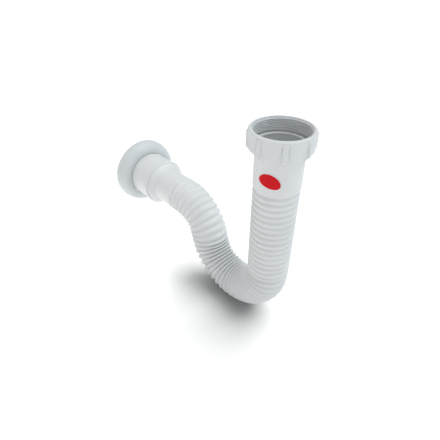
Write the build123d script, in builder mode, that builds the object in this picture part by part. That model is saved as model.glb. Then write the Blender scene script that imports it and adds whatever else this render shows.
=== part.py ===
"""Flexible waste pipe: a bellows with a coupling nut at its inlet and a loose wall flange on its outlet tail.

The inlet axis is +Z with the mouth of the nut at the origin, and the outlet tail points along -X.
"""
import os
from math import cos, radians, sin

from build123d import *

os.makedirs("parts", exist_ok=True)

# Inlet thread, G 1 1/4
thread_dia = 41.9
thread_length = 11.0
thread_relief = 0.4

# Coupling nut
nut_height = 18.5
nut_wall = 3.25
nut_floor = 4.6
nut_shoulder = 4.5
nut_foot_wall = 0.4
nut_rim = 1.2
nut_chamfer = 0.8
rib_count = 8
rib_width = 4.0
rib_height = 1.1

# Flexible pipe, inlet end and bellows
pipe_wall = 1.1
lip_thickness = 2.0
lip_width = 1.55
cuff_length = 46.6
crest_dia = 37.2
root_dia = 35.1
bend_root_dia = 33.6
groove_lead = 1.8
convolutions = 47

# Flexible pipe, route of the centreline
drop = 136.7
bend_radius = 40.0
bend_angle = 167.0
rise_run = 4.6
crown_radius = 37.0
bend_facets = 5
crown_facets = 3

# Flexible pipe, outlet end, in order along the outlet from the end of the crown
neck_dia = 36.6
neck_length = 30.0
flare_length = 2.7
flare_step = 1.95
collar_length = 5.5
collar_step = 1.4
bead_height = 1.1
bead_rise = 2.0
bead_fall = 1.4
tail_dia = 48.0
tail_wall = 1.6
spigot_gap = 2.0
spigot_step = 0.4
spigot_length = 12.0

# Wall flange
flange_dia = 71.7
flange_gap = 25.8
flange_depth = 13.2
flange_wall = 1.8
flange_crest_dia = 58.0
flange_brow_dia = 66.0
flange_rim = 6.0

# Label on the cuff
label_length = 16.6
label_height = 11.3
label_thickness = 0.25
label_depth = 33.9
label_turn = 290.0
label_tilt = 12.5

# Clearances between separate pieces
nut_play = 0.3
lip_play = 0.6
cuff_play = 0.5
flange_play = 0.3

# Radii and heights that follow
thread_r = thread_dia / 2
lip_r = thread_r - lip_play
cuff_r = lip_r - lip_width
cuff_bore_r = cuff_r - pipe_wall
nut_hole_r = cuff_r + cuff_play
nut_foot_r = nut_hole_r + nut_foot_wall
nut_body_r = thread_r + nut_wall
nut_rib_r = nut_body_r + rib_height
floor_top = nut_floor - nut_height
lip_bottom = floor_top + nut_play
lip_top = lip_bottom + lip_thickness
crest_r = crest_dia / 2
root_r = root_dia / 2
bend_root_r = bend_root_dia / 2
bore_r = bend_root_r - pipe_wall
neck_r = neck_dia / 2
tail_r = tail_dia / 2
flare_r = neck_r + flare_step
collar_r = tail_r - collar_step
bead_r = tail_r + bead_height
spigot_r = tail_r - spigot_step
tail_bore_r = spigot_r - tail_wall
flange_r = flange_dia / 2
flange_crest_r = flange_crest_dia / 2
flange_brow_r = flange_brow_dia / 2
flange_hole_r = tail_r + flange_play

# Places along the outlet that follow
collar_start = neck_length + flare_length
bead_start = collar_start + collar_length
bead_crest = bead_start + bead_rise
bead_end = bead_crest + bead_fall
flange_front = bead_end + flange_gap
flange_back = flange_front + flange_depth
flange_brow = flange_back - flange_rim
spigot_start = flange_back + spigot_gap
tail_end = spigot_start + spigot_length

# Route that follows: a drop, a bend, a short rising run and a crown that ends along -X
rise_angle = bend_angle - 90
bend_length = bend_radius * radians(bend_angle)
crown_length = crown_radius * radians(rise_angle)
rise_start = drop + bend_length
crown_start = rise_start + rise_run
route_end = crown_start + crown_length
first_root = cuff_length + groove_lead
pitch = (route_end - groove_lead - first_root) / convolutions
rise_x = -bend_radius + bend_radius * cos(radians(bend_angle))
rise_z = -drop - bend_radius * sin(radians(bend_angle))
crown_x = rise_x - rise_run * cos(radians(rise_angle)) - crown_radius * sin(radians(rise_angle))
crown_z = rise_z + rise_run * sin(radians(rise_angle)) - crown_radius * cos(radians(rise_angle))
outlet_z = crown_z + crown_radius
outlet_plane = Plane(origin=(crown_x, 0, outlet_z), x_dir=(-1, 0, 0), z_dir=(0, 1, 0))
outlet_axis = Axis((crown_x, 0, outlet_z), (-1, 0, 0))


def station(distance: float) -> Plane:
    """Return the plane square to the centreline at a distance along it from the mouth of the nut."""
    if distance <= drop:
        return Plane(origin=(0, 0, -distance), x_dir=(0, 1, 0), z_dir=(0, 0, -1))
    if distance <= rise_start:
        turn = (distance - drop) / bend_radius
        place = (-bend_radius + bend_radius * cos(turn), 0, -drop - bend_radius * sin(turn))
        return Plane(origin=place, x_dir=(0, 1, 0), z_dir=(-sin(turn), 0, -cos(turn)))
    heading = radians(rise_angle)
    if distance <= crown_start:
        run = distance - rise_start
        place = (rise_x - run * cos(heading), 0, rise_z + run * sin(heading))
        return Plane(origin=place, x_dir=(0, 1, 0), z_dir=(-cos(heading), 0, sin(heading)))
    turn = heading - (distance - crown_start) / crown_radius
    place = (crown_x + crown_radius * sin(turn), 0, crown_z + crown_radius * cos(turn))
    return Plane(origin=place, x_dir=(0, 1, 0), z_dir=(-cos(turn), 0, sin(turn)))


# Coupling nut: a cap with a threaded bore, a floor that bears under the pipe's lip, and grip ribs that follow
# the taper at its foot
with BuildPart() as coupling_nut:
    with BuildSketch(Plane.XZ):
        with BuildLine():
            Polyline(
                (nut_hole_r, -nut_height),
                (nut_foot_r, -nut_height),
                (nut_body_r, nut_shoulder - nut_height),
                (nut_body_r, -nut_chamfer),
                (nut_body_r - nut_chamfer, 0),
                (thread_r, 0),
                (thread_r, -thread_length),
                (thread_r + thread_relief, -thread_length),
                (thread_r + thread_relief, floor_top),
                (nut_hole_r, floor_top),
                close=True,
            )
        make_face()
    revolve(axis=Axis.Z)
    with BuildSketch(*[Plane.XZ.rotated((0, 0, 360 * index / rib_count)) for index in range(rib_count)]):
        with BuildLine():
            Polyline(
                (nut_body_r - rib_height, -nut_rim),
                (nut_rib_r, -nut_rim),
                (nut_rib_r, nut_shoulder - nut_height),
                (nut_foot_r + rib_height, -nut_height),
                (nut_foot_r, -nut_height),
                (nut_body_r - rib_height, nut_shoulder - nut_height),
                close=True,
            )
        make_face()
    extrude(amount=rib_width / 2, both=True)
coupling_nut.part.label = "coupling_nut"
export_step(coupling_nut.part, "parts/coupling_nut.step")

# Flexible pipe: lip and cuff, bellows, and the outlet's neck, collar, bead and tail, all one moulding
with BuildPart() as flexible_pipe:
    with BuildSketch(Plane.XZ):
        with BuildLine():
            Polyline(
                (0, lip_top),
                (lip_r, lip_top),
                (lip_r, lip_bottom),
                (cuff_r, lip_bottom),
                (cuff_r, -cuff_length),
                (0, -cuff_length),
                close=True,
            )
        make_face()
    revolve(axis=Axis.Z)
    with BuildSketch(station(cuff_length)):
        Circle(cuff_r)
    for index in range(convolutions):
        root = first_root + index * pitch
        with BuildSketch(station(root)):
            Circle(root_r if root < drop else bend_root_r)
        with BuildSketch(station(root + pitch / 2)):
            Circle(crest_r)
    with BuildSketch(station(first_root + convolutions * pitch)):
        Circle(bend_root_r)
    with BuildSketch(station(route_end)):
        Circle(neck_r)
    loft(ruled=True)
    with BuildSketch(outlet_plane):
        with BuildLine():
            Polyline(
                (0, 0),
                (0, neck_r),
                (neck_length, neck_r),
                (collar_start, flare_r),
                (bead_start, collar_r),
                (bead_crest, bead_r),
                (bead_end, tail_r),
                (spigot_start, tail_r),
                (spigot_start, spigot_r),
                (tail_end, spigot_r),
                (tail_end, 0),
                close=True,
            )
        make_face()
    revolve(axis=outlet_axis)
    with BuildSketch(Plane.XY.offset(lip_top)):
        Circle(bore_r)
    extrude(amount=-drop - lip_top, mode=Mode.SUBTRACT)
    with BuildSketch(Plane.XY.offset(lip_top)):
        Circle(cuff_bore_r)
    extrude(amount=pipe_wall - cuff_length - lip_top, mode=Mode.SUBTRACT)
    for index in range(bend_facets + 1):
        with BuildSketch(station(drop + bend_length * index / bend_facets)):
            Circle(bore_r)
    for index in range(crown_facets + 1):
        with BuildSketch(station(crown_start + crown_length * index / crown_facets)):
            Circle(bore_r)
    loft(ruled=True, mode=Mode.SUBTRACT)
    with BuildSketch(outlet_plane):
        with BuildLine():
            Polyline(
                (0, 0),
                (0, bore_r),
                (neck_length, bore_r),
                (bead_end, tail_bore_r),
                (tail_end, tail_bore_r),
                (tail_end, 0),
                close=True,
            )
        make_face()
    revolve(axis=outlet_axis, mode=Mode.SUBTRACT)
flexible_pipe.part.label = "flexible_pipe"
export_step(flexible_pipe.part, "parts/flexible_pipe.step")

# Wall flange: a hollow domed rosette that slides on the tail
with BuildPart() as wall_flange:
    with BuildSketch(outlet_plane):
        with BuildLine():
            Polyline(
                (flange_front, flange_crest_r),
                (flange_front, flange_hole_r),
                (flange_front + flange_wall, flange_hole_r),
                (flange_front + flange_wall, flange_crest_r),
                (flange_brow, flange_r - flange_wall),
                (flange_back, flange_r - flange_wall),
                (flange_back, flange_r),
                (flange_brow, flange_r),
                (flange_front + flange_wall, flange_brow_r),
                close=True,
            )
        make_face()
    revolve(axis=outlet_axis)
wall_flange.part.label = "wall_flange"
export_step(wall_flange.part, "parts/wall_flange.step")

# Label: a blank oval wrapped on the cuff
label_plane = Plane(
    origin=(0, 0, -label_depth),
    x_dir=(-sin(radians(label_turn)), cos(radians(label_turn)), 0),
    z_dir=(cos(radians(label_turn)), sin(radians(label_turn)), 0),
)
with BuildPart() as label:
    with BuildSketch(label_plane):
        Ellipse(label_length / 2, label_height / 2, rotation=-label_tilt)
    extrude(amount=2 * cuff_r)
    with BuildSketch(Plane.XY.offset(-cuff_length)):
        Circle(cuff_r + label_thickness)
        Circle(cuff_r, mode=Mode.SUBTRACT)
    extrude(amount=cuff_length, mode=Mode.INTERSECT)
label.part.label = "label"
export_step(label.part, "parts/label.step")
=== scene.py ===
"""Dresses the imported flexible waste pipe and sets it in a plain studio."""

import logging
import math
from dataclasses import dataclass, field
from enum import Enum
from typing import Iterable, Mapping, Sequence

import bpy
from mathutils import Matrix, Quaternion, Vector

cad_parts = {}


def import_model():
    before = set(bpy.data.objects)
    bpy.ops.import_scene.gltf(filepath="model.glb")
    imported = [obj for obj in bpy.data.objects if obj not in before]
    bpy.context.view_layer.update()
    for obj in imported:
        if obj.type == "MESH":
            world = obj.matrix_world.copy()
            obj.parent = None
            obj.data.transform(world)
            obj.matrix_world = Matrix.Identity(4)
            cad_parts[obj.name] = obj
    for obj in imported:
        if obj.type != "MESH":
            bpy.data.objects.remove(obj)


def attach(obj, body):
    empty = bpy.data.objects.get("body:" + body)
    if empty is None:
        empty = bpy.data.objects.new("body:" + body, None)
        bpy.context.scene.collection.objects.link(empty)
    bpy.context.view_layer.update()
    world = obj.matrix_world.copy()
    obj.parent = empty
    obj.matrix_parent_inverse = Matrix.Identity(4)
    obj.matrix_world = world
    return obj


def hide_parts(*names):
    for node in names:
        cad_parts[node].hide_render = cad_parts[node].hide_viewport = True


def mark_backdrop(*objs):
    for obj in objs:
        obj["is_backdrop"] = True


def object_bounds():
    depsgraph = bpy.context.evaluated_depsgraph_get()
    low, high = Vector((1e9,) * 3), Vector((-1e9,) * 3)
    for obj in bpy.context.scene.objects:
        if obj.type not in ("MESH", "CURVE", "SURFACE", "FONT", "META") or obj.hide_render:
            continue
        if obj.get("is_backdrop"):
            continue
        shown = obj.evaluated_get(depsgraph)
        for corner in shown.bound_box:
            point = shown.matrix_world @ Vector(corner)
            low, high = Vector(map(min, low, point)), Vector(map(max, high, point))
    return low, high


LOG = logging.getLogger("waste_pipe")
Point = tuple[float, float]
Colour = tuple[float, float, float]
ORIGIN = Vector((0.0, 0.0, 0.0))
UP = Vector((0.0, 0.0, 1.0))
LEVEL = Vector((1.0, 0.0, 0.0))

# Vertices closer than these are merged, within one ring and between two rings
WELD = 0.000005
SEAM = 0.00001


class Node(Enum):
    """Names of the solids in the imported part."""

    PIPE = "flexible_pipe"
    NUT = "coupling_nut"
    FLANGE = "wall_flange"
    LABEL = "label"


class Body(Enum):
    """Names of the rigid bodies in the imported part."""

    PIPE = "pipe_body"
    NUT = "nut_body"
    FLANGE = "flange_body"


def add_node(
    tree: bpy.types.NodeTree, kind: str, values: Mapping[str | int, float] | None = None, **settings: object
) -> bpy.types.Node:
    """Add a node to a tree.

    Args:
        tree: The tree to add to.
        kind: Blender's type of node.
        values: Values of its inputs, by name or number.
        settings: Properties of the node.

    Returns:
        The new node.
    """
    added = tree.nodes.new(kind)
    for key, value in settings.items():
        setattr(added, key, value)
    for key, value in (values or {}).items():
        added.inputs[key].default_value = value
    return added


def link_nodes(
    tree: bpy.types.NodeTree, rows: Iterable[tuple[bpy.types.Node, str, bpy.types.Node, str | int]]
) -> None:
    """Link the nodes of a tree.

    Args:
        tree: The tree that holds the nodes.
        rows: For each link, a node and its output, then a node and its input.
    """
    for giver, output, taker, entry in rows:
        tree.links.new(giver.outputs[output], taker.inputs[entry])


@dataclass(frozen=True)
class MouldedSkin:
    """Node group of moulded plastic with painted crease shade, which all the plastic finishes share.

    Attributes:
        name: Name of the group.
        cloud_scale: Scale of the mottle.
        cloud_detail: Detail of the mottle.
        cloud_low: Noise at which the mottle is darkest.
        cloud_high: Noise at which the mottle is lightest.
        grain_scale: Scale of the fine skin.
        grain_detail: Detail of the fine skin.
        crease_reach: Distance over which the painted crease shade is felt.
        crease_samples: Rays that look for a crease to paint shade into.
        crease_full: Openness at which the painted crease shade is darkest.
        crease_none: Openness at which the painted crease shade ends.
        wear: How far the mottle raises the roughness.
    """

    name: str = "moulded_skin_crease_shade"
    cloud_scale: float = 28.0
    cloud_detail: float = 2.0
    cloud_low: float = 0.3
    cloud_high: float = 0.7
    grain_scale: float = 1800.0
    grain_detail: float = 1.0
    crease_reach: float = 0.0020
    crease_samples: int = 8
    crease_full: float = 0.4
    crease_none: float = 0.85
    wear: float = 0.08

    def tree(self) -> bpy.types.NodeTree:
        """Return the group, made on first use.

        Returns:
            A group that puts out a mottled colour with painted shade in its creases, a roughness and a bump
            height.
        """
        if self.name in bpy.data.node_groups:
            return bpy.data.node_groups[self.name]
        group = bpy.data.node_groups.new(self.name, "ShaderNodeTree")
        sockets = {
            "INPUT": ("Colour", "Mottle", "Roughness", "Crease_shade"),
            "OUTPUT": ("Colour", "Roughness", "Height"),
        }
        for side, names in sockets.items():
            for name in names:
                kind = "NodeSocketColor" if name == "Colour" else "NodeSocketFloat"
                group.interface.new_socket(name, in_out=side, socket_type=kind)
        source = add_node(group, "NodeGroupInput")
        result = add_node(group, "NodeGroupOutput")
        place = add_node(group, "ShaderNodeTexCoord")
        cloud = add_node(group, "ShaderNodeTexNoise", {"Scale": self.cloud_scale, "Detail": self.cloud_detail})
        grain = add_node(group, "ShaderNodeTexNoise", {"Scale": self.grain_scale, "Detail": self.grain_detail})
        shade = add_node(group, "ShaderNodeMapRange", {"From Min": self.cloud_low, "From Max": self.cloud_high})
        lowest = add_node(group, "ShaderNodeMath", {0: 1.0}, operation="SUBTRACT")
        # Painted shade: ambient occlusion darkens the colour in creases, grooves and threads.
        crease_shade_ao = add_node(
            group,
            "ShaderNodeAmbientOcclusion",
            {"Distance": self.crease_reach},
            samples=self.crease_samples,
            only_local=True,
        )
        fold = add_node(group, "ShaderNodeMapRange", {"From Min": self.crease_full, "From Max": self.crease_none})
        darkest_crease_shade = add_node(group, "ShaderNodeMath", {0: 1.0}, operation="SUBTRACT")
        mottle_and_crease_shade = add_node(group, "ShaderNodeMath", operation="MULTIPLY")
        tint = add_node(group, "ShaderNodeVectorMath", operation="SCALE")
        wear = add_node(group, "ShaderNodeMath", {1: self.wear}, operation="MULTIPLY_ADD")
        link_nodes(
            group,
            (
                (place, "Object", cloud, "Vector"),
                (place, "Object", grain, "Vector"),
                (source, "Mottle", lowest, 1),
                (cloud, "Fac", shade, "Value"),
                (lowest, "Value", shade, "To Min"),
                (source, "Colour", tint, "Vector"),
                (crease_shade_ao, "AO", fold, "Value"),
                (source, "Crease_shade", darkest_crease_shade, 1),
                (darkest_crease_shade, "Value", fold, "To Min"),
                (shade, "Result", mottle_and_crease_shade, 0),
                (fold, "Result", mottle_and_crease_shade, 1),
                (mottle_and_crease_shade, "Value", tint, "Scale"),
                (cloud, "Fac", wear, 0),
                (source, "Roughness", wear, 2),
                (tint, "Vector", result, "Colour"),
                (wear, "Value", result, "Roughness"),
                (grain, "Fac", result, "Height"),
            ),
        )
        return group


SKIN = MouldedSkin()


@dataclass(frozen=True)
class PlasticFinish:
    """Moulded plastic with a faint mottle, a fine skin and painted shade darkening its creases.

    Attributes:
        name: Name of the material.
        colour: Base colour, linear RGB.
        roughness: Lowest roughness.
        mottle: How far the mottle changes the brightness.
        skin: Strength of the fine skin's bump.
        skin_depth: Depth of the fine skin's bump.
        glow: Subsurface weight, for thin white plastic.
        glow_reach: How far light travels under the surface.
        crease: How far the painted shade darkens the creases.
        gloss: Specular level.
    """

    name: str
    colour: Colour
    roughness: float
    mottle: float = 0.05
    skin: float = 0.04
    skin_depth: float = 0.0002
    glow: float = 0.0
    glow_reach: float = 0.004
    crease: float = 0.30
    gloss: float = 0.5

    def material(self) -> bpy.types.Material:
        """Make the material.

        Returns:
            The new material.
        """
        made = bpy.data.materials.new(self.name)
        made.use_nodes = True
        tree = made.node_tree
        shader = tree.nodes["Principled BSDF"]
        shader.inputs["Subsurface Weight"].default_value = self.glow
        shader.inputs["Subsurface Radius"].default_value = (self.glow_reach,) * 3
        shader.inputs["Subsurface Scale"].default_value = 1.0
        shader.inputs["Specular IOR Level"].default_value = self.gloss
        skin = add_node(tree, "ShaderNodeGroup", node_tree=SKIN.tree())
        skin.inputs["Colour"].default_value = (*self.colour, 1.0)
        skin.inputs["Mottle"].default_value = self.mottle
        skin.inputs["Roughness"].default_value = self.roughness
        # Strength of the painted crease shade.
        skin.inputs["Crease_shade"].default_value = self.crease
        bump = add_node(tree, "ShaderNodeBump", {"Strength": self.skin, "Distance": self.skin_depth})
        link_nodes(
            tree,
            (
                (skin, "Colour", shader, "Base Color"),
                (skin, "Roughness", shader, "Roughness"),
                (skin, "Height", bump, "Height"),
                (bump, "Normal", shader, "Normal"),
            ),
        )
        return made


@dataclass(frozen=True)
class FloorFinish:
    """Plain pale floor with a painted contact shadow, which darkens it softly near what stands on it.

    Attributes:
        name: Name of the material.
        brightness: Base colour, the same in red, green and blue.
        roughness: Roughness.
        gloss: Specular level.
        shade: How far the painted contact shadow darkens the floor.
        shade_full: Openness at which the painted shadow is full.
        reach: Distance at which the painted shadow ends.
        samples: Rays that look for what stands near.
    """

    name: str = "pale_floor"
    brightness: float = 0.93
    roughness: float = 0.9
    gloss: float = 0.1
    shade: float = 0.29
    shade_full: float = 0.4
    reach: float = 0.085
    samples: int = 16

    def material(self) -> bpy.types.Material:
        """Make the material.

        Returns:
            The new material.
        """
        made = bpy.data.materials.new(self.name)
        made.use_nodes = True
        tree = made.node_tree
        shader = tree.nodes["Principled BSDF"]
        shader.inputs["Roughness"].default_value = self.roughness
        shader.inputs["Specular IOR Level"].default_value = self.gloss
        # Painted contact shadow: ambient occlusion darkens the floor's colour near the pieces.
        near = add_node(tree, "ShaderNodeAmbientOcclusion", {"Distance": self.reach}, samples=self.samples)
        painted_shadow = add_node(
            tree,
            "ShaderNodeMapRange",
            {
                "From Min": self.shade_full,
                "To Min": self.brightness * (1.0 - self.shade),
                "To Max": self.brightness,
            },
        )
        link_nodes(tree, ((near, "AO", painted_shadow, "Value"), (painted_shadow, "Result", shader, "Base Color")))
        return made


# Each finish's crease sets how far its painted crease shade darkens the colour.
WHITE_PIPE = PlasticFinish("white_pipe", (0.635, 0.645, 0.645), 0.42, glow=0.06)
WHITE_NUT = PlasticFinish("white_nut", (0.605, 0.62, 0.63), 0.46, glow=0.04, crease=0.08)
WHITE_FLANGE = PlasticFinish("white_flange", (0.545, 0.57, 0.58), 0.40, glow=0.04)
RED_LABEL = PlasticFinish("red_label", (0.56, 0.001, 0.008), 0.5, mottle=0.03, skin=0.02, gloss=0.15)


class Bench:
    """Modelling steps that several pieces share."""

    @staticmethod
    def clear() -> None:
        """Leave edit mode and deselect everything."""
        if bpy.context.object is not None and bpy.context.object.mode != "OBJECT":
            bpy.ops.object.mode_set(mode="OBJECT")
        bpy.ops.object.select_all(action="DESELECT")

    @staticmethod
    def pick(*objects: bpy.types.Object) -> None:
        """Select only the given objects and make the first one active.

        Args:
            objects: What to select.
        """
        Bench.clear()
        for item in objects:
            item.select_set(True)
        bpy.context.view_layer.objects.active = objects[0]

    @staticmethod
    def apply(piece: bpy.types.Object, kind: str, **settings: object) -> None:
        """Add a modifier to a piece and apply it.

        Args:
            piece: The object to change.
            kind: Blender's type of modifier.
            settings: Properties to set on the modifier.
        """
        Bench.pick(piece)
        bpy.ops.object.modifier_add(type=kind)
        added = piece.modifiers[-1]
        for key, value in settings.items():
            setattr(added, key, value)
        bpy.ops.object.modifier_apply(modifier=added.name)

    @staticmethod
    def fix() -> None:
        """Put the place, turn and size of the selected object into its mesh."""
        bpy.ops.object.transform_apply(location=True, rotation=True, scale=True)

    @staticmethod
    def weld(distance: float = WELD) -> None:
        """Merge close vertices of the mesh that is in edit mode.

        Args:
            distance: Vertices closer than this are merged.
        """
        bpy.ops.mesh.select_all(action="SELECT")
        bpy.ops.mesh.remove_doubles(threshold=distance)

    @staticmethod
    def settle() -> None:
        """Point the faces of the mesh that is in edit mode outwards, and leave edit mode."""
        bpy.ops.mesh.select_all(action="SELECT")
        bpy.ops.mesh.normals_make_consistent(inside=False)
        bpy.ops.object.mode_set(mode="OBJECT")

    @staticmethod
    def chain(name: str, points: Sequence[Vector]) -> bpy.types.Object:
        """Draw a chain of vertices by extruding one vertex from point to point.

        Args:
            name: Name of the new object.
            points: Places along the chain.

        Returns:
            The new object, in edit mode.
        """
        Bench.clear()
        bpy.ops.mesh.primitive_plane_add(location=ORIGIN)
        drawn = bpy.context.object
        drawn.name = name
        drawn.data.name = name
        bpy.ops.object.mode_set(mode="EDIT")
        bpy.ops.mesh.select_all(action="SELECT")
        bpy.ops.mesh.merge(type="CENTER")
        bpy.ops.transform.translate(value=points[0])
        for here, there in zip(points, points[1:]):
            bpy.ops.mesh.extrude_region_move(TRANSFORM_OT_translate={"value": there - here})
        return drawn

    @staticmethod
    def loop(name: str, points: Sequence[Vector]) -> bpy.types.Object:
        """Draw a closed chain of vertices.

        Args:
            name: Name of the new object.
            points: Places along the chain, each once.

        Returns:
            The new object, in edit mode.
        """
        drawn = Bench.chain(name, [*points, points[0]])
        Bench.weld()
        return drawn

    @staticmethod
    def round_corners(width: float, steps: int = 3) -> None:
        """Round every corner of the chain that is in edit mode.

        Args:
            width: Distance of the rounding from each corner.
            steps: Segments in each rounding.
        """
        bpy.ops.mesh.select_all(action="SELECT")
        bpy.ops.mesh.bevel(offset=width, offset_type="OFFSET", segments=steps, affect="VERTICES")

    @staticmethod
    def turn(steps: int, centre: Vector = ORIGIN, axis: Vector = UP) -> None:
        """Spin the chain that is in edit mode into a closed ring, with its faces outwards.

        Args:
            steps: Segments round the ring.
            centre: A point on the axis.
            axis: Direction of the axis.
        """
        bpy.ops.mesh.select_all(action="SELECT")
        bpy.ops.mesh.spin(steps=steps, angle=math.tau, center=centre, axis=axis)
        Bench.weld()
        Bench.settle()

    @staticmethod
    def face_out(shell: bpy.types.Object) -> None:
        """Point the faces of an open shell away from the vertical axis.

        Args:
            shell: The object to turn right side out.
        """
        Bench.pick(shell)
        bpy.ops.object.mode_set(mode="EDIT")
        Bench.settle()
        outward = sum(face.normal.xy.dot(face.center.xy) * face.area for face in shell.data.polygons)
        if outward < 0.0:
            bpy.ops.object.mode_set(mode="EDIT")
            bpy.ops.mesh.flip_normals()
            bpy.ops.object.mode_set(mode="OBJECT")

    @staticmethod
    def smooth(piece: bpy.types.Object, degrees: float = 40.0) -> None:
        """Shade a piece smooth below an angle.

        Args:
            piece: The object to shade.
            degrees: Edges sharper than this stay sharp.
        """
        Bench.pick(piece)
        bpy.ops.object.shade_smooth_by_angle(angle=math.radians(degrees))

    @staticmethod
    def join(pieces: Sequence[bpy.types.Object]) -> bpy.types.Object:
        """Join pieces into the first one.

        Args:
            pieces: The objects to join.

        Returns:
            The joined object.
        """
        Bench.pick(*pieces)
        bpy.ops.object.join()
        return bpy.context.object

    @staticmethod
    def dress(piece: bpy.types.Object, finish: PlasticFinish) -> None:
        """Give a piece one finish.

        Args:
            piece: The object to dress.
            finish: Its finish.
        """
        piece.data.materials.clear()
        piece.data.materials.append(finish.material())


@dataclass
class Route:
    """Centreline of the pipe: a drop, a bend, a short rising run, a crown and a level outlet.

    Attributes:
        drop: Length of the upright run below the mouth of the nut.
        bend_radius: Radius of the lower bend.
        bend_angle: Angle of the lower bend, degrees.
        rise_run: Length of the straight rising run.
        crown_radius: Radius of the upper bend.
        outlet: Length of the level run.
        step: Spacing of the points along the bends.
    """

    drop: float = 0.1367
    bend_radius: float = 0.040
    bend_angle: float = 167.0
    rise_run: float = 0.0046
    crown_radius: float = 0.037
    outlet: float = 0.110
    step: float = 0.001

    @property
    def length_to_outlet(self) -> float:
        """Distance along the centreline from the mouth of the nut to the level run."""
        bend = math.radians(self.bend_angle) * self.bend_radius
        crown = math.radians(self.bend_angle - 90.0) * self.crown_radius
        return self.drop + bend + self.rise_run + crown

    def points(self) -> list[Vector]:
        """Walk the centreline.

        Returns:
            Points from the mouth of the nut to the end of the level run.
        """
        place = Vector((0.0, 0.0, -self.drop))
        walked = [ORIGIN.copy(), place.copy()]
        pitch = math.radians(-90.0)
        turns = (
            (self.bend_radius, math.radians(self.bend_angle), self.rise_run),
            (self.crown_radius, -math.radians(self.bend_angle - 90.0), self.outlet),
        )
        for radius, angle, run in turns:
            count = math.ceil(abs(angle) * radius / self.step)
            chord = 2.0 * radius * math.sin(abs(angle) / count / 2.0)
            for _ in range(count):
                pitch += angle / count / 2.0
                place = place + chord * Vector((-math.cos(pitch), 0.0, math.sin(pitch)))
                pitch += angle / count / 2.0
                walked.append(place.copy())
            place = place + run * Vector((-math.cos(pitch), 0.0, math.sin(pitch)))
            walked.append(place.copy())
        return walked

    def outlet_start(self) -> Vector:
        """Return the start of the level run."""
        return self.points()[-1] + self.outlet * LEVEL

    def curve(self) -> bpy.types.Object:
        """Draw the centreline as a curve.

        Returns:
            A curve object that a Curve modifier can follow.
        """
        Bench.clear()
        bpy.ops.curve.primitive_nurbs_path_add()
        drawn = bpy.context.object
        drawn.name = "pipe_route"
        walked = self.points()
        drawn.data.splines.clear()
        line = drawn.data.splines.new("POLY")
        line.points.add(len(walked) - 1)
        for spot, place in zip(line.points, walked):
            spot.co = (*place, 1.0)
        drawn.data.use_deform_bounds = False
        return drawn


@dataclass(frozen=True)
class FoldStyle:
    """Shape of one stretch of folds.

    Attributes:
        name: Name of the stretch.
        grooves: Number of grooves in the stretch.
        depth: Depth of the grooves.
        power: Values over 1 make narrow grooves, values under 1 make narrow crests.
    """

    name: str
    grooves: int
    depth: float
    power: float

    def sink(self, share: float) -> float:
        """Return how far the skin lies below the crest.

        Args:
            share: Place within one pitch, -0.5 to 0.5, with the groove at 0.

        Returns:
            Depth below the crest.
        """
        return self.depth * abs(math.cos(math.pi * share)) ** (2.0 * self.power)


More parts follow.
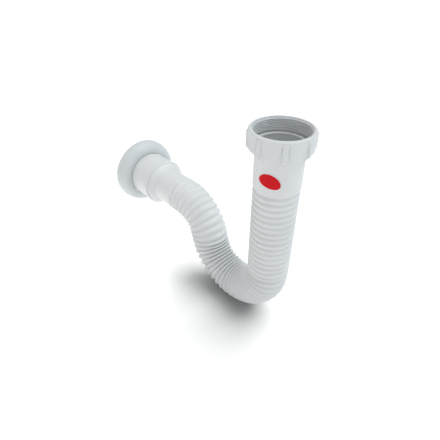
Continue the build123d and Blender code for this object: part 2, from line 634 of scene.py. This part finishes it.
@dataclass
class BellowsPipe:
    """One-piece pipe: lip, cuff, bellows, neck, collar with its bead, and tail.

    Attributes:
        route: Centreline of the pipe.
        wall: Thickness of the moulded wall.
        lip_top: Distance of the lip's top below the mouth of the nut.
        lip_thickness: Thickness of the lip.
        lip_radius: Radius of the lip.
        lip_bore: Inner radius of the lip.
        cuff_radius: Radius of the smooth inlet cuff.
        crest_radius: Radius over the folds.
        cuff_length: Distance of the cuff's end below the mouth of the nut.
        groove_lead: Distance of the first and last groove from the ends of the bellows.
        stretches: The stretches of folds, from the inlet to the outlet.
        folds_overrun: How far the folds reach into the level run.
        fold_steps: Steps in the profile of one fold.
        soft_steps: Steps in the profile of the collar, and of the bead.
        segments: Segments round the pipe.
        neck_radius: Radius of the smooth outlet neck.
        neck_end: End of the neck, along the level run.
        collar_radius: Radius of the swelling collar at the bead.
        bead_radius: Radius over the bead.
        bead_crest: Middle of the bead, along the level run.
        bead_rise: Length of the bead's side on the collar.
        bead_fall: Length of the bead's side on the tail.
        tail_radius: Radius of the tail.
        spigot_radius: Radius of the tail's free end.
        spigot_start: Start of the free end, along the level run.
        tail_end: End of the tail, along the level run.
    """

    route: Route = field(default_factory=Route)
    wall: float = 0.0011
    lip_top: float = 0.0116
    lip_thickness: float = 0.0020
    lip_radius: float = 0.02035
    lip_bore: float = 0.0177
    cuff_radius: float = 0.0188
    crest_radius: float = 0.0186
    cuff_length: float = 0.0466
    groove_lead: float = 0.0018
    stretches: tuple[FoldStyle, ...] = (
        FoldStyle("upright_folds", 16, 0.0014, 1.5),
        FoldStyle("bend_folds", 20, 0.0025, 1.0),
        FoldStyle("rise_folds", 3, 0.0021, 1.3),
        FoldStyle("crown_folds", 10, 0.0019, 1.5),
    )
    folds_overrun: float = 0.0060
    fold_steps: int = 12
    soft_steps: int = 8
    segments: int = 72
    neck_radius: float = 0.0183
    neck_end: float = 0.0310
    collar_radius: float = 0.0230
    bead_radius: float = 0.0247
    bead_crest: float = 0.0403
    bead_rise: float = 0.0018
    bead_fall: float = 0.0018
    tail_radius: float = 0.0239
    spigot_radius: float = 0.0236
    spigot_start: float = 0.0826
    tail_end: float = 0.0946

    @property
    def grooves(self) -> int:
        """Number of grooves in all stretches."""
        return sum(style.grooves for style in self.stretches)

    @property
    def pitch(self) -> float:
        """Spacing of the folds."""
        last = self.route.length_to_outlet + self.folds_overrun - self.groove_lead
        return (last - self.cuff_length - self.groove_lead) / (self.grooves - 1)

    @property
    def folds_start(self) -> float:
        """Distance of the first crest below the mouth of the nut."""
        return self.cuff_length + self.groove_lead - self.pitch / 2.0

    @property
    def folds_end(self) -> float:
        """Distance of the last crest along the centreline."""
        return self.folds_start + self.pitch * self.grooves

    def inlet_profile(self) -> list[Point]:
        """Return radius and distance along the lip and cuff, down to the first crest."""
        under = self.lip_top + self.lip_thickness
        return [
            (self.lip_bore, self.lip_top),
            (self.lip_radius, self.lip_top),
            (self.lip_radius, under),
            (self.cuff_radius, under),
            (self.cuff_radius, self.folds_start - self.pitch / 4.0),
            (self.crest_radius, self.folds_start),
        ]

    def fold_profile(self, style: FoldStyle, start: float) -> list[Point]:
        """Return radius and distance along one fold, from crest to crest.

        Args:
            style: Shape of the fold.
            start: Distance of its first crest along the centreline.

        Returns:
            Points of the profile.
        """
        shares = [index / self.fold_steps for index in range(self.fold_steps + 1)]
        return [(self.crest_radius - style.sink(share - 0.5), start + share * self.pitch) for share in shares]

    def outlet_profile(self) -> list[Point]:
        """Return radius and distance from the last crest to the end of the tail."""
        start = self.route.length_to_outlet
        soft = self.soft_steps
        rows: list[Point] = [
            (self.crest_radius, self.folds_end),
            (self.neck_radius, self.folds_end + self.pitch / 4.0),
        ]
        bead_start = self.bead_crest - self.bead_rise
        for index in range(soft + 1):
            share = index / soft
            rise = math.sin(math.pi / 2.0 * share)
            radius = self.neck_radius + rise * (self.collar_radius - self.neck_radius)
            rows.append((radius, start + self.neck_end + share * (bead_start - self.neck_end)))
        for index in range(1, soft + 1):
            turn = math.pi * index / soft
            rising = index < soft / 2
            foot = self.collar_radius if rising else self.tail_radius
            side = self.bead_rise if rising else self.bead_fall
            radius = foot + math.sin(turn) * (self.bead_radius - foot)
            rows.append((radius, start + self.bead_crest - math.cos(turn) * side))
        step = self.tail_radius - self.spigot_radius
        rows.append((self.tail_radius, start + self.spigot_start))
        rows.append((self.spigot_radius, start + self.spigot_start + step))
        rows.append((self.spigot_radius, start + self.tail_end))
        return rows

    def ring(self, name: str, profile: Iterable[Point]) -> bpy.types.Object:
        """Spin a profile about the straight axis.

        Args:
            name: Name of the new object.
            profile: Radius and distance along the pipe.

        Returns:
            The spun object.
        """
        drawn = Bench.chain(name, [Vector((radius, 0.0, along)) for radius, along in profile])
        Bench.turn(self.segments)
        return drawn

    def build(self) -> bpy.types.Object:
        """Model the pipe straight, then lead it along its route and give it its wall.

        Returns:
            The finished piece.
        """
        rings = [self.ring("inlet", self.inlet_profile()), self.ring("outlet", self.outlet_profile())]
        start = self.folds_start
        for style in self.stretches:
            folds = self.ring(style.name, self.fold_profile(style, start))
            Bench.apply(
                folds,
                "ARRAY",
                count=style.grooves,
                use_relative_offset=False,
                use_constant_offset=True,
                constant_offset_displace=self.pitch * UP,
                use_merge_vertices=True,
                merge_threshold=SEAM,
            )
            rings.append(folds)
            start += style.grooves * self.pitch
        pipe = Bench.join(rings)
        pipe.name = "bellows_pipe"
        pipe.data.name = "bellows_pipe"
        bpy.ops.object.mode_set(mode="EDIT")
        Bench.weld(SEAM)
        bpy.ops.object.mode_set(mode="OBJECT")
        Bench.face_out(pipe)
        line = self.route.curve()
        Bench.apply(pipe, "CURVE", object=line, deform_axis="POS_Z")
        bpy.data.objects.remove(line)
        Bench.apply(pipe, "SOLIDIFY", thickness=self.wall, offset=-1.0)
        Bench.smooth(pipe)
        Bench.dress(pipe, WHITE_PIPE)
        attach(pipe, Body.PIPE.value)
        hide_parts(Node.PIPE.value)
        return pipe


@dataclass
class CouplingNut:
    """Ribbed nut with an inner thread.

    Attributes:
        height: Height of the nut.
        body_radius: Radius of the plain body.
        rib_radius: Radius over the ribs.
        rib_count: Number of ribs.
        rib_width: Width of one rib at its top.
        rib_foot: Width of one rib at its root, inside the body.
        rib_rounding: Rounding of the ribs' edges.
        rib_steps: Segments in the rounding of the ribs.
        rim: Plain height above the ribs.
        shoulder: Size of the taper at the foot.
        hole_radius: Radius of the hole round the cuff.
        floor_thickness: Thickness of the floor under the lip.
        thread_radius: Major radius of the thread.
        thread_relief: Depth of the relief below the thread.
        thread_length: Length of the threaded bore.
        thread_depth: Height of the thread's ridge.
        thread_root: How far the ridge is sunk into the wall.
        thread_foot: Half width of the ridge's foot, as a share of the pitch.
        thread_crest: Width of the ridge's crest, as a share of its foot.
        thread_turns: Turns of the thread.
        thread_start: Distance of the first turn below the mouth.
        lead_in: How far the mouth of the thread is opened.
        lead_depth: How deep the opened mouth reaches.
        rounding: Rounding of the body's corners.
        sharp: Edges sharper than this stay sharp, degrees.
        segments: Segments round the nut.
    """

    height: float = 0.0185
    body_radius: float = 0.0242
    rib_radius: float = 0.0253
    rib_count: int = 8
    rib_width: float = 0.0032
    rib_foot: float = 0.0072
    rib_rounding: float = 0.0007
    rib_steps: int = 3
    rim: float = 0.0012
    shoulder: float = 0.0045
    hole_radius: float = 0.0193
    floor_thickness: float = 0.0046
    thread_radius: float = 0.0215
    thread_relief: float = 0.0004
    thread_length: float = 0.0110
    thread_depth: float = 0.0006
    thread_root: float = 0.0002
    thread_foot: float = 0.46
    thread_crest: float = 0.18
    thread_turns: int = 7
    thread_start: float = 0.0006
    lead_in: float = 0.0003
    lead_depth: float = 0.0010
    rounding: float = 0.0004
    sharp: float = 35.0
    segments: int = 96

    @property
    def thread_pitch(self) -> float:
        """Pitch of the thread."""
        return (self.thread_length - self.thread_start) / (self.thread_turns + 1)

    def body(self) -> bpy.types.Object:
        """Spin the body's section.

        Returns:
            The body of the nut.
        """
        inside = -self.height + self.floor_thickness
        crown = 2.0 * self.rounding
        relief = self.thread_radius + self.thread_relief
        section = [
            (relief, inside),
            (self.hole_radius, inside),
            (self.hole_radius, -self.height),
            (self.body_radius - self.shoulder, -self.height),
            (self.body_radius, -self.height + self.shoulder),
            (self.body_radius, -crown),
            (self.body_radius - crown, 0.0),
            (self.thread_radius + self.lead_in, 0.0),
            (self.thread_radius, -self.lead_depth),
            (self.thread_radius, -self.thread_length),
            (relief, -self.thread_length),
        ]
        drawn = Bench.loop("ribbed_nut", [Vector((radius, 0.0, up)) for radius, up in section])
        Bench.round_corners(self.rounding / 2.0)
        Bench.turn(self.segments)
        return drawn

    def ribs(self) -> list[bpy.types.Object]:
        """Model one rib, which follows the taper at the foot, and copy it round the nut.

        Returns:
            The ribs.
        """
        stand = self.rib_radius - self.body_radius
        root = self.body_radius - stand
        side = [
            (root, -self.rim),
            (self.rib_radius, -self.rim - stand),
            (self.rib_radius, -self.height + self.shoulder),
            (self.rib_radius - self.shoulder, -self.height + self.rounding),
            (root - self.shoulder, -self.height + self.rounding),
            (root, -self.height + self.shoulder),
        ]
        rib = Bench.chain("rib", [Vector((radius, -self.rib_foot / 2.0, up)) for radius, up in side])
        bpy.ops.mesh.select_all(action="SELECT")
        bpy.ops.mesh.edge_face_add()
        bpy.ops.mesh.extrude_region_move(TRANSFORM_OT_translate={"value": (0.0, self.rib_foot, 0.0)})
        bpy.ops.mesh.select_all(action="DESELECT")
        bpy.ops.object.mode_set(mode="OBJECT")
        taper_top = -self.height + self.shoulder
        for spot in rib.data.vertices:
            taper = max(0.0, taper_top - spot.co.z) / (self.shoulder - self.rounding) * self.shoulder
            spot.select = spot.co.x + taper > self.body_radius
        bpy.ops.object.mode_set(mode="EDIT")
        bpy.ops.transform.resize(value=(1.0, self.rib_width / self.rib_foot, 1.0))
        Bench.settle()
        Bench.apply(rib, "BEVEL", width=self.rib_rounding, segments=self.rib_steps, limit_method="ANGLE")
        made = [rib]
        for index in range(1, self.rib_count):
            Bench.pick(rib)
            bpy.ops.object.duplicate()
            copy = bpy.context.object
            copy.rotation_euler = (0.0, 0.0, math.tau * index / self.rib_count)
            Bench.fix()
            made.append(copy)
        return made

    def thread(self) -> bpy.types.Object:
        """Model the thread as a helical ridge on the bore.

        Returns:
            The ridge.
        """
        foot = self.thread_pitch * self.thread_foot
        crest = foot * self.thread_crest
        outside, inside = self.thread_radius + self.thread_root, self.thread_radius - self.thread_depth
        section = [(outside, foot), (inside, crest), (inside, -crest), (outside, -foot)]
        middle = -self.thread_start - foot
        ridge = Bench.loop("thread", [Vector((radius, 0.0, middle + up)) for radius, up in section])
        bpy.ops.object.mode_set(mode="OBJECT")
        Bench.apply(
            ridge,
            "SCREW",
            axis="Z",
            angle=math.tau,
            screw_offset=-self.thread_pitch,
            iterations=self.thread_turns,
            steps=self.segments,
            render_steps=self.segments,
            use_merge_vertices=False,
        )
        bpy.ops.object.mode_set(mode="EDIT")
        bpy.ops.mesh.select_all(action="SELECT")
        bpy.ops.mesh.fill_holes(sides=len(section))
        Bench.settle()
        return ridge

    def build(self) -> bpy.types.Object:
        """Join the body, the ribs and the thread.

        Returns:
            The finished piece.
        """
        nut = Bench.join([self.body(), *self.ribs(), self.thread()])
        nut.name = "ribbed_nut"
        Bench.smooth(nut, self.sharp)
        Bench.apply(nut, "WEIGHTED_NORMAL", keep_sharp=True)
        Bench.dress(nut, WHITE_NUT)
        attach(nut, Body.NUT.value)
        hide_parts(Node.NUT.value)
        return nut


@dataclass
class WallFlange:
    """Domed rosette that slides on the tail.

    Attributes:
        start: Start of the pipe's level run.
        front: Distance of the front along the level run.
        depth: Depth of the flange.
        radius: Outer radius.
        crest_radius: Radius of the flat ring round the hole.
        hole_radius: Radius of the hole.
        wall: Thickness of the wall.
        rim: Straight height of the rim.
        rounding: Rounding of the sharp edges.
        rounding_steps: Segments in that rounding.
        sharp: Edges sharper than this are rounded, degrees.
        steps: Steps along the dome.
        segments: Segments round the flange.
    """

    start: Vector
    front: float = 0.0674
    depth: float = 0.0132
    radius: float = 0.03585
    crest_radius: float = 0.0270
    hole_radius: float = 0.0243
    wall: float = 0.0018
    rim: float = 0.0020
    rounding: float = 0.0004
    rounding_steps: int = 2
    sharp: float = 50.0
    steps: int = 12
    segments: int = 96

    def section(self) -> list[Point]:
        """Return the closed section as distance along the level run and radius."""
        back = self.front + self.depth
        edge = [(back, self.radius), (back, self.radius - self.wall)]
        hole = [(self.front + self.wall, self.hole_radius), (self.front, self.hole_radius)]
        return self.dome(0.0) + edge + self.dome(self.wall)[::-1] + hole

    def dome(self, inset: float) -> list[Point]:
        """Return one side of the dome, from the ring round the hole to the rim.

        Args:
            inset: Distance of this side inside the outer one.

        Returns:
            Points as distance along the level run and radius.
        """
        foot = self.front + self.depth - self.rim
        across, along = self.radius - self.crest_radius - inset, self.depth - self.rim - inset
        turns = [math.pi / 2.0 * index / self.steps for index in range(self.steps + 1)]
        return [(foot - along * math.cos(turn), self.crest_radius + across * math.sin(turn)) for turn in turns]

    def build(self) -> bpy.types.Object:
        """Spin the section about the level run.

        Returns:
            The finished piece.
        """
        places = [self.start + Vector((-along, 0.0, radius)) for along, radius in self.section()]
        flange = Bench.loop("domed_flange", places)
        Bench.turn(self.segments, self.start, LEVEL)
        Bench.apply(
            flange,
            "BEVEL",
            width=self.rounding,
            segments=self.rounding_steps,
            limit_method="ANGLE",
            angle_limit=math.radians(self.sharp),
        )
        Bench.smooth(flange)
        Bench.dress(flange, WHITE_FLANGE)
        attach(flange, Body.FLANGE.value)
        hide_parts(Node.FLANGE.value)
        return flange


@dataclass
class OvalLabel:
    """Blank oval film on the cuff.

    Attributes:
        turn: Place of its middle round the cuff, degrees.
        depth: Distance of its middle below the mouth of the nut.
        azimuth: Direction from which its outline is a regular oval, degrees round the cuff.
        elevation: Height of that direction, degrees.
        tilt: How far the oval falls to its right, degrees.
        length: Length of the oval.
        height: Height of the oval.
        reach: Length of the prism that cuts the outline.
        cuff_radius: Radius of the cuff.
        thickness: Thickness of the film.
        segments: Segments round the cuff.
        outline_steps: Segments round the oval.
    """

    turn: float = 291.1
    depth: float = 0.0338
    azimuth: float = 308.2
    elevation: float = 30.7
    tilt: float = 23.0
    length: float = 0.0170
    height: float = 0.0091
    reach: float = 0.025
    cuff_radius: float = 0.0188
    thickness: float = 0.00025
    segments: int = 288
    outline_steps: int = 96

    def film(self) -> bpy.types.Object:
        """Spin a band of film round the cuff.

        Returns:
            The band.
        """
        outside = self.cuff_radius + self.thickness
        top, foot = self.length - self.depth, -self.length - self.depth
        section = [(self.cuff_radius, foot), (outside, foot), (outside, top), (self.cuff_radius, top)]
        band = Bench.loop("oval_label", [Vector((radius, 0.0, up)) for radius, up in section])
        Bench.turn(self.segments)
        return band

    def outline(self) -> bpy.types.Object:
        """Model a prism with the oval's outline that reaches through the near side of the cuff.

        Returns:
            The prism.
        """
        turn, azimuth = math.radians(self.turn), math.radians(self.azimuth)
        towards = Vector((math.cos(azimuth), math.sin(azimuth), math.tan(math.radians(self.elevation))))
        fall = Quaternion(UP, -math.radians(self.tilt))
        Bench.clear()
        bpy.ops.mesh.primitive_cylinder_add(vertices=self.outline_steps, radius=0.5, depth=self.reach)
        prism = bpy.context.object
        prism.scale = (self.length, self.height, 1.0)
        Bench.fix()
        prism.rotation_euler = (towards.to_track_quat("Z", "Y") @ fall).to_euler()
        prism.location = (self.cuff_radius * math.cos(turn), self.cuff_radius * math.sin(turn), -self.depth)
        Bench.fix()
        return prism

    def build(self) -> bpy.types.Object:
        """Cut the oval out of the band.

        Returns:
            The finished piece.
        """
        label, prism = self.film(), self.outline()
        Bench.apply(label, "BOOLEAN", operation="INTERSECT", object=prism, solver="EXACT")
        bpy.data.objects.remove(prism)
        Bench.smooth(label)
        Bench.dress(label, RED_LABEL)
        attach(label, Body.PIPE.value)
        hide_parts(Node.LABEL.value)
        return label


class Falls(Enum):
    """What a light falls on."""

    FLOOR = "floor_only"
    PIECES = "pieces_only"


@dataclass(frozen=True)
class Sun:
    """A wide, even light.

    Attributes:
        name: Name of the light.
        heading: Direction in which the light travels.
        strength: Strength in watts per square metre.
        spread: Apparent width of the light, degrees.
        falls: What the light falls on.
        colour: Colour, linear RGB.
    """

    name: str
    heading: tuple[float, float, float]
    strength: float
    spread: float
    falls: Falls
    colour: Colour = (1.0, 1.0, 1.0)


@dataclass(frozen=True)
class Sky:
    """Even studio light from all round, brightest overhead.

    Attributes:
        horizon: Strength at the horizon.
        zenith: Strength overhead.
        colour: Colour, linear RGB.
        backdrop: Strength that the camera sees behind the floor.
    """

    horizon: float
    zenith: float
    colour: Colour
    backdrop: float = 1.1

    def world(self) -> bpy.types.World:
        """Make the world.

        Returns:
            The new world.
        """
        made = bpy.data.worlds.new("studio")
        made.use_nodes = True
        tree = made.node_tree
        glow = tree.nodes["Background"]
        glow.inputs["Color"].default_value = (*self.colour, 1.0)
        place = add_node(tree, "ShaderNodeTexCoord")
        split = add_node(tree, "ShaderNodeSeparateXYZ")
        climb = add_node(tree, "ShaderNodeMapRange", {"To Min": self.horizon, "To Max": self.zenith})
        seen = add_node(tree, "ShaderNodeLightPath")
        choose = add_node(tree, "ShaderNodeMix", {"B": self.backdrop})
        link_nodes(
            tree,
            (
                (place, "Generated", split, "Vector"),
                (split, "Z", climb, "Value"),
                (seen, "Is Camera Ray", choose, "Factor"),
                (climb, "Result", choose, "A"),
                (choose, "Result", glow, "Strength"),
            ),
        )
        return made


@dataclass(frozen=True)
class Wash:
    """A soft pool of light on the floor that casts no shadow.

    Attributes:
        name: Name of the light.
        place: Middle of the pool, across the floor.
        height: Height of the light above the floor.
        power: Power in watts.
        cone: Width of the cone, degrees.
    """

    name: str
    place: Point
    height: float
    power: float
    cone: float


SKY = Sky(0.13, 0.42, (0.97, 0.985, 1.0))
SUNS = (
    Sun("key", (-0.15, -0.30, -1.0), 1.36, 50.0, Falls.PIECES),
    Sun("floor_key", (-0.24, -0.50, -1.0), 3.6, 55.0, Falls.FLOOR),
    Sun("soft_top", (0.0, 0.0, -1.0), 1.20, 160.0, Falls.PIECES, (0.97, 0.99, 1.0)),
    Sun("soft_front", (-0.45, 0.60, -0.08), 0.70, 60.0, Falls.PIECES, (0.95, 0.985, 1.0)),
    Sun("left_fill", (0.70, 0.65, -0.10), 0.26, 45.0, Falls.PIECES, (1.0, 0.96, 0.90)),
    Sun("right_fill", (-0.68, -0.73, -0.20), 0.55, 40.0, Falls.PIECES, (0.55, 0.88, 1.0)),
)
FLOOR_WASH = Wash("floor_wash", (-0.210, -0.060), 0.60, 12.0, 29.0)


@dataclass
class Studio:
    """Floor, lights and camera.

    Attributes:
        pieces: The dressed pieces.
        floor_height: Height of the floor.
        floor_size: Length of the floor's sides.
        camera_place: Place of the camera.
        camera_turn: Turn of the camera about the vertical, degrees.
        camera_fall: How far the camera looks down, degrees.
        lens: Focal length, millimetres.
        sensor: Width of the sensor, millimetres.
        nearest: Distance at which the camera starts to see.
    """

    pieces: Sequence[bpy.types.Object]
    floor_height: float
    floor_size: float = 12.0
    camera_place: Vector = field(default_factory=lambda: Vector((0.1475, -0.1965, 0.1014)))
    camera_turn: float = 47.1
    camera_fall: float = 36.87
    lens: float = 30.08
    sensor: float = 36.0
    nearest: float = 0.01

    def floor(self) -> bpy.types.Object:
        """Lay the floor.

        Returns:
            The floor.
        """
        Bench.clear()
        bpy.ops.mesh.primitive_plane_add(size=self.floor_size, location=(0.0, 0.0, self.floor_height))
        laid = bpy.context.object
        laid.name = "floor"
        Bench.fix()
        laid.data.materials.append(FloorFinish().material())
        return laid

    @staticmethod
    def group(falls: Falls, members: Sequence[bpy.types.Object]) -> bpy.types.Collection:
        """Gather what one kind of light falls on.

        Args:
            falls: The kind of light.
            members: The objects that it lights.

        Returns:
            The new collection.
        """
        made = bpy.data.collections.new(falls.value)
        for member in members:
            made.objects.link(member)
        return made

    @staticmethod
    def hang(sun: Sun, lit: bpy.types.Collection) -> bpy.types.Object:
        """Hang one wide, even light.

        Args:
            sun: The light to hang.
            lit: The only objects that it lights.

        Returns:
            The light.
        """
        Bench.clear()
        bpy.ops.object.light_add(type="SUN", location=UP)
        hung = bpy.context.object
        hung.name = sun.name
        hung.data.energy = sun.strength
        hung.data.color = sun.colour
        hung.data.angle = math.radians(sun.spread)
        hung.rotation_euler = Vector(sun.heading).to_track_quat("-Z", "Y").to_euler()
        hung.light_linking.receiver_collection = lit
        return hung

    def pour(self, wash: Wash, lit: bpy.types.Collection) -> bpy.types.Object:
        """Hang a wash above the floor.

        Args:
            wash: The light to hang.
            lit: The only objects that it lights.

        Returns:
            The light.
        """
        Bench.clear()
        bpy.ops.object.light_add(type="SPOT", location=(*wash.place, self.floor_height + wash.height))
        hung = bpy.context.object
        hung.name = wash.name
        hung.data.energy = wash.power
        hung.data.spot_size = math.radians(wash.cone)
        hung.data.spot_blend = 1.0
        hung.data.use_shadow = False
        hung.light_linking.receiver_collection = lit
        return hung

    def camera(self) -> bpy.types.Object:
        """Place the camera at the photograph's viewing angle.

        Returns:
            The camera.
        """
        Bench.clear()
        bpy.ops.object.camera_add(location=self.camera_place)
        made = bpy.context.object
        made.name = "camera"
        made.rotation_euler = (math.radians(90.0 - self.camera_fall), 0.0, math.radians(self.camera_turn))
        made.data.sensor_width = self.sensor
        made.data.lens = self.lens
        made.data.clip_start = self.nearest
        bpy.context.scene.camera = made
        return made

    def build(self) -> None:
        """Set up the studio."""
        bpy.context.scene.world = SKY.world()
        bpy.context.scene.view_settings.view_transform = "Standard"
        laid = self.floor()
        members = {Falls.FLOOR: [laid], Falls.PIECES: self.pieces}
        groups = {falls: self.group(falls, lit) for falls, lit in members.items()}
        lights = [self.hang(sun, groups[sun.falls]) for sun in SUNS]
        lights.append(self.pour(FLOOR_WASH, groups[Falls.FLOOR]))
        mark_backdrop(laid, self.camera(), *lights)


def main() -> None:
    """Load the part, build each piece in turn and set up the studio."""
    logging.basicConfig(level=logging.INFO, format="%(name)s: %(message)s")
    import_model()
    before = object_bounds()
    route = Route()
    pieces = [
        BellowsPipe(route).build(),
        CouplingNut().build(),
        WallFlange(route.outlet_start()).build(),
        OvalLabel().build(),
    ]
    for piece in pieces:
        LOG.info("%s has %d faces", piece.name, len(piece.data.polygons))
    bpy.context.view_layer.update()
    Studio(pieces, floor_height=before[0][2]).build()


if __name__ == "__main__":
    main()
